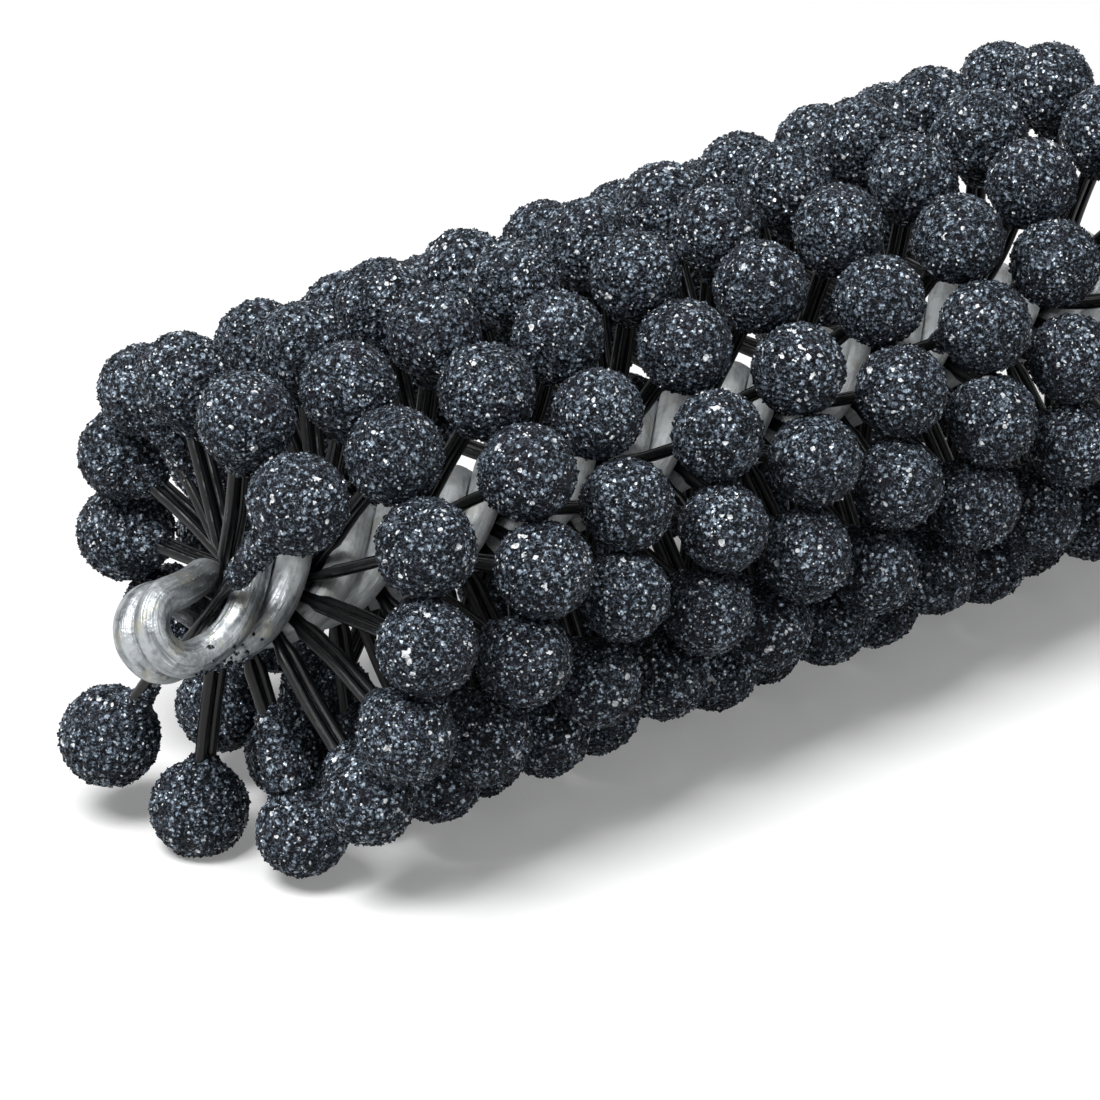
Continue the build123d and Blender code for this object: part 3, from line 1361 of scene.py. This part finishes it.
@dataclass
class Leaning:
    """How each bundle end leans and how big its ball grew, as on a hand-dipped hone.

    The balls that the photograph shows have their own values, and the others lean at random.
    """

    sizes: HoneSizes
    right: Vector
    down: Vector
    settled: dict[tuple[int, bool], tuple[Vector, float]] = field(default_factory=dict)
    rounds: int = 14
    wander: float = 0.22
    smallest: float = 0.955
    largest: float = 1.01
    fits: tuple[BallFit, ...] = (
        BallFit(0, End.NEAR, 0.0, 0.6, 1.05),
        BallFit(0, End.FAR, -0.6, 0.3, 1.08),
        BallFit(1, End.NEAR, 0.2, 0.6, 1.02),
        BallFit(1, End.FAR, -0.25, 0.3, 1.05),
        BallFit(2, End.NEAR, 0.0, 0.1, 1.0),
        BallFit(2, End.FAR, 0.6, 0.3, 0.97),
        BallFit(3, End.NEAR, 0.3, -0.8, 0.97),
        BallFit(3, End.FAR, 0.0, -0.1, 1.0),
        BallFit(4, End.NEAR, 0.0, -0.3, 1.0),
        BallFit(4, End.FAR, -0.5, 0.1, 1.03),
        BallFit(5, End.NEAR, -0.4, 0.0, 1.04),
        BallFit(5, End.FAR, -0.45, 0.3, 1.03),
        BallFit(6, End.NEAR, 0.1, -0.8, 1.0),
        BallFit(6, End.FAR, 0.0, 0.45, 1.04),
        BallFit(7, End.NEAR, 0.6, 0.8, 0.99),
        BallFit(7, End.FAR, -0.1, 0.1, 1.02),
        BallFit(8, End.NEAR, 0.0, -0.5, 1.0),
        BallFit(8, End.FAR, -0.1, 0.45, 1.0),
        BallFit(10, End.NEAR, 0.7, -0.5, 1.0),
        BallFit(12, End.NEAR, 0.35, -0.5, 1.0),
        BallFit(12, End.FAR, -0.8, 0.5, 0.98),
        BallFit(13, End.NEAR, 0.8, -0.5, 1.03),
        BallFit(13, End.FAR, -1.05, 0.35, 1.0),
        BallFit(14, End.NEAR, 0.7, -0.2, 1.03),
        BallFit(14, End.FAR, 0.1, 1.5, 0.99),
        BallFit(15, End.NEAR, 0.7, 0.4, 1.02),
        BallFit(15, End.FAR, -0.7, 0.8, 0.97),
        BallFit(19, End.FAR, 0.1, 0.3, 0.95),
        BallFit(20, End.FAR, 0.1, -0.1, 0.96),
        BallFit(22, End.FAR, -0.25, 0.35, 0.96),
        BallFit(23, End.FAR, -0.15, 0.25, 0.97),
        BallFit(26, End.NEAR, 0.4, -0.3, 0.95),
        BallFit(27, End.NEAR, 0.4, -0.3, 0.95),
        BallFit(28, End.NEAR, 0.25, -0.1, 0.95),
        BallFit(29, End.NEAR, 0.3, 0.1, 0.97),
        BallFit(51, End.NEAR, 0.5, 0.0, 0.98),
        BallFit(52, End.NEAR, 0.0, -0.8, 0.98),
        BallFit(59, End.NEAR, -0.8, 0.3, 0.98),
        BallFit(59, End.FAR, 0.9, 0.0, 0.98),
        BallFit(60, End.NEAR, -0.95, -0.2, 0.98),
        BallFit(66, End.NEAR, 0.7, 0.0, 0.98),
    )

    def __post_init__(self) -> None:
        """Gives every ball its lean and size, and lets crowded balls push one another aside."""
        ends = self.sizes.ends(range(self.sizes.bundle_count))
        seats = [self.sizes.point(*end, self.sizes.ball_circle_radius) for end in ends]
        chosen = [self.choose(*end) for end in ends]
        reaches = [size * self.sizes.ball_diameter / 2 for _, size in chosen]
        centres = [seat + offset for seat, (offset, _) in zip(seats, chosen)]
        for _ in range(self.rounds):
            for one, other in itertools.combinations(range(len(ends)), 2):
                apart = centres[other] - centres[one]
                room = reaches[one] + reaches[other]
                if apart.length < room:
                    push = apart.normalized() * ((room - apart.length) / 2)
                    centres[one] -= push
                    centres[other] += push
        for end, seat, centre, (_, size) in zip(ends, seats, centres, chosen):
            self.settled[end] = centre - seat, size

    def fit(self, index: int, far: bool) -> tuple[Vector, float]:
        """The ball centre's offset in the end, in millimetres, and the ball's size as a share."""
        return self.settled[index, far]

    def choose(self, index: int, far: bool) -> tuple[Vector, float]:
        """One ball's lean and size before the balls settle.

        Args:
            index: the bundle's number, from 0 at the tip.
            far: which of its two ends.

        Returns:
            The ball centre's offset in millimetres, and the ball's size as a share of the rule's.
        """
        for known in self.fits:
            if known.index == index and known.end.value == far:
                return self.right * known.right + self.down * known.down, known.size
        chance = random.Random(2 * index + far)
        offset = Vector([chance.uniform(-1, 1) for _ in range(3)]) * self.wander
        return offset, chance.uniform(self.smallest, self.largest)


@dataclass
class WireStem:
    """The two folded wires that are twisted into the stem, in millimetres."""

    sizes: HoneSizes
    points_per_turn: int = 40
    points_per_bend: int = 28
    sides: int = 20
    eye_swell: float = 0.05
    dent_depth: float = 0.16
    dents_per_metre: float = 420.0
    grit_patches: tuple[Place, ...] = ((198.1, 3.2, -2.9), (196.0, 2.7, -2.7))
    patch_radius: float = 2.3
    crystals_per_square: float = 4.5
    crystal_growth: float = 1.25
    grit_seed: int = 3

    def knots(self, side: int) -> list[Knot]:
        """One wire's knots: it is squeezed a little wider where it is bent.

        Args:
            side: 1 or -1, for the two wires.

        Returns:
            The knots of its centreline.
        """
        sizes = self.sizes
        points = StemLine(sizes).wire(side, self.points_per_turn, self.points_per_bend)
        start = sizes.eye_centre_x - sizes.wire_diameter
        return [
            Knot(point, 1.0 + self.eye_swell * ease(point.x, start, sizes.eye_centre_x))
            for point in points
        ]

    def build(self, tree: Tree, finish: Material) -> list[Piece]:
        """Makes both wires and lets them stand for their nodes.

        Args:
            tree: the tube tree.
            finish: the zinc finish.

        Returns:
            The wires.
        """
        pieces = []
        for side, letter in ((1, "a"), (-1, "b")):
            name = f"wire_{letter}"
            piece = grow(name, line_curve(name, [self.knots(side)]), tree, {
                "Diameter": self.sizes.wire_diameter * MM,
                "Dent Depth": self.dent_depth * MM,
                "Dents per Metre": self.dents_per_metre,
                "Sides": self.sides,
                "Finish": finish,
            })
            shear_off(piece.data)
            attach(piece, "stem")
            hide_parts(f"stem_wire_{letter}")
            pieces.append(piece)
        return pieces

    def scatter_grit(self, tree: Tree, grit: GritSizes, finish: Material) -> list[Piece]:
        """Sticks loose grains to the eye, where the resin ran on to it.

        Args:
            tree: the stray grit tree.
            grit: the sizes of the grains.
            finish: the grit's finish.

        Returns:
            The grains on each wire.
        """
        pieces = []
        for patch, letter in zip(self.grit_patches, "ab"):
            wire = bpy.data.objects[f"wire_{letter}"].data.copy()
            piece = grow(f"eye_grit_{letter}", wire, tree, {
                "Patch Centre": tuple(value * MM for value in patch),
                "Patch Radius": self.patch_radius * MM,
                "Crystals per Area": self.crystals_per_square / MM ** 2,
                "Crystal Size": grit.crystal_size * self.crystal_growth * MM,
                "Seed": self.grit_seed,
                "Finish": finish,
            })
            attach(piece, "stem")
            pieces.append(piece)
        return pieces


@dataclass
class BallRows:
    """The rows of abrasive balls."""

    sizes: HoneSizes
    grit: GritSizes
    leaning: Leaning
    first_seed: int = 11
    seed_step: int = 13

    def seats(self, row: int) -> bpy.types.Mesh:
        """The row's ball centres, each with its size and the direction of its spoke.

        Args:
            row: the row's number, from 0 at the tip.

        Returns:
            A mesh of loose points.
        """
        sizes = self.sizes
        ends = sizes.ends(sizes.row(row))
        fits = [self.leaning.fit(*end) for end in ends]
        places = [sizes.point(*end, sizes.ball_circle_radius) for end in ends]
        mesh = bpy.data.meshes.new(f"ball_seats_{row + 1}")
        mesh.from_pydata([(place + fit[0]) * MM for place, fit in zip(places, fits)], [], [])
        mesh.attributes.new("spoke", "FLOAT_VECTOR", "POINT")
        mesh.attributes.new("swell", "FLOAT", "POINT")
        for number, (end, (offset, size)) in enumerate(zip(ends, fits)):
            spoke = sizes.spoke(*end) * sizes.ball_circle_radius + offset
            mesh.attributes["spoke"].data[number].vector = spoke
            mesh.attributes["swell"].data[number].value = size
        return mesh

    def build(self, tree: Tree, finish: Material) -> list[Piece]:
        """Makes each row and lets it stand for its node.

        Args:
            tree: the ball tree.
            finish: the grit's finish.

        Returns:
            The rows.
        """
        pieces = []
        for row in range(self.sizes.row_count):
            piece = grow(f"balls_{row + 1}", self.seats(row), tree, {
                "Ball Radius": self.sizes.ball_diameter / 2 * MM,
                "Neck Reach": self.sizes.neck_length * MM,
                **self.grit.values(self.first_seed + self.seed_step * row, finish),
            })
            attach(piece, f"row_{row + 1}")
            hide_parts(f"ball_row_{row + 1}")
            pieces.append(piece)
        return pieces


@dataclass(frozen=True)
class Sleeve:
    """Grit that ran down one bundle's end from its ball, in millimetres."""

    index: int
    end: End
    foot_radius: float
    head_width: float
    foot_width: float


@dataclass
class StrandBundles:
    """The nylon bundles, each made as two halves that bend out from the stem."""

    sizes: HoneSizes
    grit: GritSizes
    leaning: Leaning
    seed: int = 5
    knots: int = 14
    sides: int = 10
    dent_depth: float = 0.03
    dents_per_metre: float = 700.0
    bow: float = 0.24
    stray_share: float = 0.3
    drift_share: float = 0.25
    root_radius: float = 3.4
    flare_length: float = 1.2
    swell: float = 1.6
    spread: float = 0.15
    tuck: float = 0.3
    sleeve_knots: int = 20
    sleeve_sides: int = 22
    sleeve_seed: int = 29
    sleeve_lump_height: float = 0.5
    sleeve_tuck: float = 0.8
    foot_share: float = 0.12
    foot_taper: float = 0.5
    sleeves: tuple[Sleeve, ...] = (
        Sleeve(0, End.NEAR, 4.2, 1.3, 0.85),
        Sleeve(0, End.FAR, 8.6, 1.15, 0.6),
        Sleeve(2, End.FAR, 6.9, 1.75, 0.9),
        Sleeve(3, End.NEAR, 7.4, 1.15, 0.7),
        Sleeve(7, End.NEAR, 5.2, 1.25, 0.85),
        Sleeve(8, End.NEAR, 4.6, 1.5, 0.95),
        Sleeve(9, End.NEAR, 9.4, 1.1, 0.65),
        Sleeve(14, End.FAR, 9.2, 1.15, 0.6),
        Sleeve(21, End.NEAR, 9.7, 1.1, 0.65),
        Sleeve(30, End.FAR, 9.0, 1.1, 0.6),
        Sleeve(41, End.NEAR, 9.3, 1.15, 0.65),
        Sleeve(52, End.FAR, 9.5, 1.1, 0.65),
        Sleeve(63, End.NEAR, 9.1, 1.1, 0.6),
    )

    def lean(self, index: int, far: bool, radius: float) -> Vector:
        """How far a bundle's end has leant at this distance from the axis, in millimetres."""
        reach = self.sizes.ball_circle_radius - self.root_radius
        return self.leaning.fit(index, far)[0] * clamp((radius - self.root_radius) / reach)

    def half_lines(self, index: int, far: bool, chance: random.Random) -> list[list[Knot]]:
        """The two strands of one half bundle.

        Args:
            index: the bundle's number, from 0 at the tip.
            far: which of its two ends.
            chance: the source of the small bends.

        Returns:
            One list of knots for each strand.
        """
        sizes = self.sizes
        side = Vector((1, 0, 0))
        cross = sizes.spoke(index, far).cross(side)
        end_radius = sizes.ball_circle_radius - sizes.ball_diameter / 2 + self.tuck
        bend = chance.uniform(-self.bow, self.bow)
        lines = []
        for sign in (-1, 1):
            stray = chance.uniform(-self.bow, self.bow) * self.stray_share
            drift = chance.uniform(-self.bow, self.bow) * self.drift_share
            knots = []
            for step in range(self.knots + 1):
                radius = step / self.knots * end_radius
                bulge = math.sin(math.pi * ease(radius, self.root_radius, end_radius))
                out = ease(radius, self.root_radius, self.root_radius + self.flare_length)
                shift = side * (sign * (sizes.strand_offset + self.spread * out) + drift * bulge)
                sway = cross * ((bend + stray * sign) * bulge)
                place = sizes.point(index, far, radius) + self.lean(index, far, radius)
                knots.append(Knot(place + shift + sway, 1.0 + (self.swell - 1.0) * out))
            lines.append(knots)
        return lines

    def hinge(self, piece: Piece, index: int, far: bool) -> None:
        """Bakes a piece's placement into its mesh, for a bundle's end; the piece is not bent.

        Args:
            piece: the piece.
            index: the bundle's number, from 0 at the tip.
            far: which of its two ends.
        """
        start = self.sizes.point(index, far, self.root_radius) * MM
        end = self.sizes.point(index, far, self.sizes.neck_end_radius) * MM
        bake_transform(piece)

    def build(self, tree: Tree, finish: Material) -> list[Piece]:
        """Makes every half bundle, and hides the row of strands that it replaces.

        Args:
            tree: the tube tree.
            finish: the nylon finish.

        Returns:
            The half bundles.
        """
        sizes = self.sizes
        chance = random.Random(self.seed)
        pieces = []
        for index, far in sizes.ends(range(sizes.bundle_count)):
            name = f"strands_{index + 1}_{'b' if far else 'a'}"
            curve = line_curve(name, self.half_lines(index, far, chance))
            piece = grow(name, curve, tree, {
                "Diameter": sizes.strand_diameter * MM,
                "Dent Depth": self.dent_depth * MM,
                "Dents per Metre": self.dents_per_metre,
                "Sides": self.sides,
                "Finish": finish,
            })
            self.hinge(piece, index, far)
            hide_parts(f"strand_row_{index // sizes.bundles_per_row + 1}")
            pieces.append(piece)
        return pieces

    def sleeve_line(self, sleeve: Sleeve) -> list[Knot]:
        """The knots of a sleeve, from its foot to the ball's neck.

        Args:
            sleeve: the sleeve.

        Returns:
            The knots, with the sleeve's radius in millimetres as their width.
        """
        sizes = self.sizes
        far = sleeve.end.value
        head_radius = sizes.neck_end_radius + self.sleeve_tuck
        knots = []
        for step in range(self.sleeve_knots + 1):
            share = step / self.sleeve_knots
            radius = sleeve.foot_radius + share * (head_radius - sleeve.foot_radius)
            full = sleeve.foot_width + (sleeve.head_width - sleeve.foot_width) * share
            closing = self.foot_taper + (1 - self.foot_taper) * ease(share, 0.0, self.foot_share)
            place = sizes.point(sleeve.index, far, radius) + self.lean(sleeve.index, far, radius)
            knots.append(Knot(place, full * closing))
        return knots

    def coat(self, tree: Tree, finish: Material) -> list[Piece]:
        """Makes the sleeves of grit on some bundle ends.

        Args:
            tree: the gritty sleeve tree.
            finish: the grit's finish.

        Returns:
            The sleeves.
        """
        pieces = []
        for sleeve in self.sleeves:
            far = sleeve.end.value
            name = f"sleeve_{sleeve.index + 1}_{'b' if far else 'a'}"
            values = self.grit.values(self.sleeve_seed + sleeve.index, finish)
            values["Sides"] = self.sleeve_sides
            values["Lump Height"] = self.sleeve_lump_height * MM
            piece = grow(name, line_curve(name, [self.sleeve_line(sleeve)]), tree, values)
            self.hinge(piece, sleeve.index, far)
            pieces.append(piece)
        return pieces


# The studio


@dataclass(frozen=True)
class CameraPlace:
    """Where the picture was taken from, in millimetres and degrees."""

    azimuth: float = 138.52
    elevation: float = 25.83
    distance: float = 617.0
    aim_x: float = 171.4
    aim_right: float = 4.24
    aim_down: float = 2.82
    focal_pixels: float = 9004.0
    frame_pixels: float = 1100.0
    sensor: float = 36.0
    near_clip: float = 10.0
    far_clip: float = 20000.0

    def axes(self) -> tuple[Vector, Vector, Vector]:
        """The camera's directions.

        Returns:
            Forward, right and down, as unit vectors.
        """
        azimuth, elevation = math.radians(self.azimuth), math.radians(self.elevation)
        level = math.cos(elevation)
        forward = Vector((
            -math.sin(azimuth) * level, math.cos(azimuth) * level, -math.sin(elevation)
        ))
        right = forward.cross(Vector((0, 0, 1))).normalized()
        return forward, right, forward.cross(right)

    def build(self) -> None:
        """Makes the camera and lets the scene use it."""
        forward, right, down = self.axes()
        aim = Vector((self.aim_x, 0, 0)) + right * self.aim_right + down * self.aim_down
        data = bpy.data.cameras.new("portrait_camera")
        data.sensor_width = self.sensor
        data.lens = self.focal_pixels / self.frame_pixels * self.sensor
        data.clip_start = self.near_clip * MM
        data.clip_end = self.far_clip * MM
        camera = bpy.data.objects.new("portrait_camera", data)
        camera.location = (aim - forward * self.distance) * MM
        camera.rotation_euler = forward.to_track_quat("-Z", "Y").to_euler()
        bpy.context.scene.collection.objects.link(camera)
        bpy.context.scene.camera = camera


@dataclass(frozen=True)
class SoftLamp:
    """A large square lamp that looks at the brush, placed in metres."""

    name: str
    place: Place
    size: float
    watts: float

    def build(self, aim: Vector) -> None:
        """Hangs the lamp and turns it.

        Args:
            aim: the point that it looks at, in metres.
        """
        data = bpy.data.lights.new(self.name, "AREA")
        data.size = self.size
        data.energy = self.watts
        lamp = bpy.data.objects.new(self.name, data)
        lamp.location = self.place
        lamp.rotation_euler = (aim - lamp.location).to_track_quat("-Z", "Y").to_euler()
        bpy.context.scene.collection.objects.link(lamp)


@dataclass(frozen=True)
class Studio:
    """A pale floor, an even sky and soft lamps, in metres.

    The floor shows white far off, where the lamps no longer reach it.
    """

    aim: Place = (0.17, 0.0, 0.0)
    sky_strength: float = 0.1
    floor_reach: float = 3.0
    floor_white: float = 0.9
    floor_bounce: float = 0.15
    floor_glow: float = 0.2
    floor_roughness: float = 0.9
    pool_from: float = 0.3
    pool_to: float = 0.8
    lamps: tuple[SoftLamp, ...] = (
        SoftLamp("key_lamp", (0.72, 0.1, 0.95), 0.5, 13.4),
        SoftLamp("fill_lamp", (0.1, 0.9, 0.7), 0.9, 1.0),
    )

    def seen(self, graph: Graph) -> Socket:
        """Tells a ray that shows the background from one that only lights.

        Args:
            graph: the graph of the material or world.

        Returns:
            1 for a ray that shows it, and 0 for the others.
        """
        path = graph.add("ShaderNodeLightPath").outputs
        shown = graph.math("MAXIMUM", path["Is Camera Ray"], path["Is Transmission Ray"])
        return graph.math("MAXIMUM", shown, path["Is Glossy Ray"])

    def sky(self) -> None:
        """A plain white sky, seen white and lighting softly."""
        world = bpy.data.worlds.new("studio_sky")
        world.use_nodes = True
        graph = Graph(world.node_tree)
        strength = graph.ramp(self.seen(graph), 0.0, 1.0, self.sky_strength, 1.0)
        glow = graph.add("ShaderNodeBackground", {"Color": WHITE, "Strength": strength})
        output = graph.add("ShaderNodeOutputWorld")
        graph.feed(output.inputs["Surface"], glow.outputs[0])
        bpy.context.scene.world = world

    def floor(self) -> None:
        """A pale floor under the lowest balls."""
        low = CAD_BOX[0][2]
        reach = self.floor_reach
        corners = [(x * reach, y * reach, low) for x, y in ((-1, -1), (1, -1), (1, 1), (-1, 1))]
        mesh = bpy.data.meshes.new("floor")
        mesh.from_pydata(corners, [], [(0, 1, 2, 3)])
        floor = bpy.data.objects.new("floor", mesh)
        bpy.context.scene.collection.objects.link(floor)
        material, graph, surface = begin_finish("pale_floor")
        levels = (self.floor_white, self.floor_bounce, self.floor_glow)
        white, bounce, glow = ((level, level, level, 1.0) for level in levels)
        seen = self.seen(graph)
        spot = graph.add("ShaderNodeTexCoord").outputs["Object"]
        far_off = graph.ramp(graph.measure("LENGTH", spot), self.pool_from, self.pool_to)
        shown = graph.mix(seen, BLACK, graph.mix(far_off, glow, WHITE))
        graph.feed(surface.inputs["Base Color"], graph.mix(seen, bounce, white))
        graph.feed(surface.inputs["Emission Color"], shown)
        graph.feed(surface.inputs["Emission Strength"], 1.0)
        graph.feed(surface.inputs["Roughness"], self.floor_roughness)
        mesh.materials.append(material)

    def build(self) -> None:
        """Sets up sky, floor and lamps."""
        self.sky()
        self.floor()
        for lamp in self.lamps:
            lamp.build(Vector(self.aim))
        bpy.context.scene.view_settings.view_transform = "Standard"


def main() -> None:
    """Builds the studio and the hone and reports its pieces."""
    sizes = HoneSizes()
    grit = GritSizes()
    groups = SurfaceGroups()
    camera = CameraPlace()
    camera.build()
    Studio().build()
    zinc = GalvanisedFinish("galvanised_zinc").build(groups)
    nylon = NylonFinish("black_nylon").build(groups)
    carbide = GritFinish("carbide_grit").build(groups)
    crust = make_crust_tree()
    tube_tree = make_tube_tree()
    stem = WireStem(sizes)
    pieces = stem.build(tube_tree, zinc)
    pieces += stem.scatter_grit(make_stray_tree(), grit, carbide)
    _, right, down = camera.axes()
    leaning = Leaning(sizes, right, down)
    bundles = StrandBundles(sizes, grit, leaning)
    pieces += bundles.build(tube_tree, nylon)
    pieces += bundles.coat(make_sleeve_tree(crust), carbide)
    pieces += BallRows(sizes, grit, leaning).build(make_ball_tree(crust), carbide)
    for piece in pieces:
        log.info("%s: %d faces", piece.name, len(piece.data.polygons))


if __name__ == "__main__":
    main()
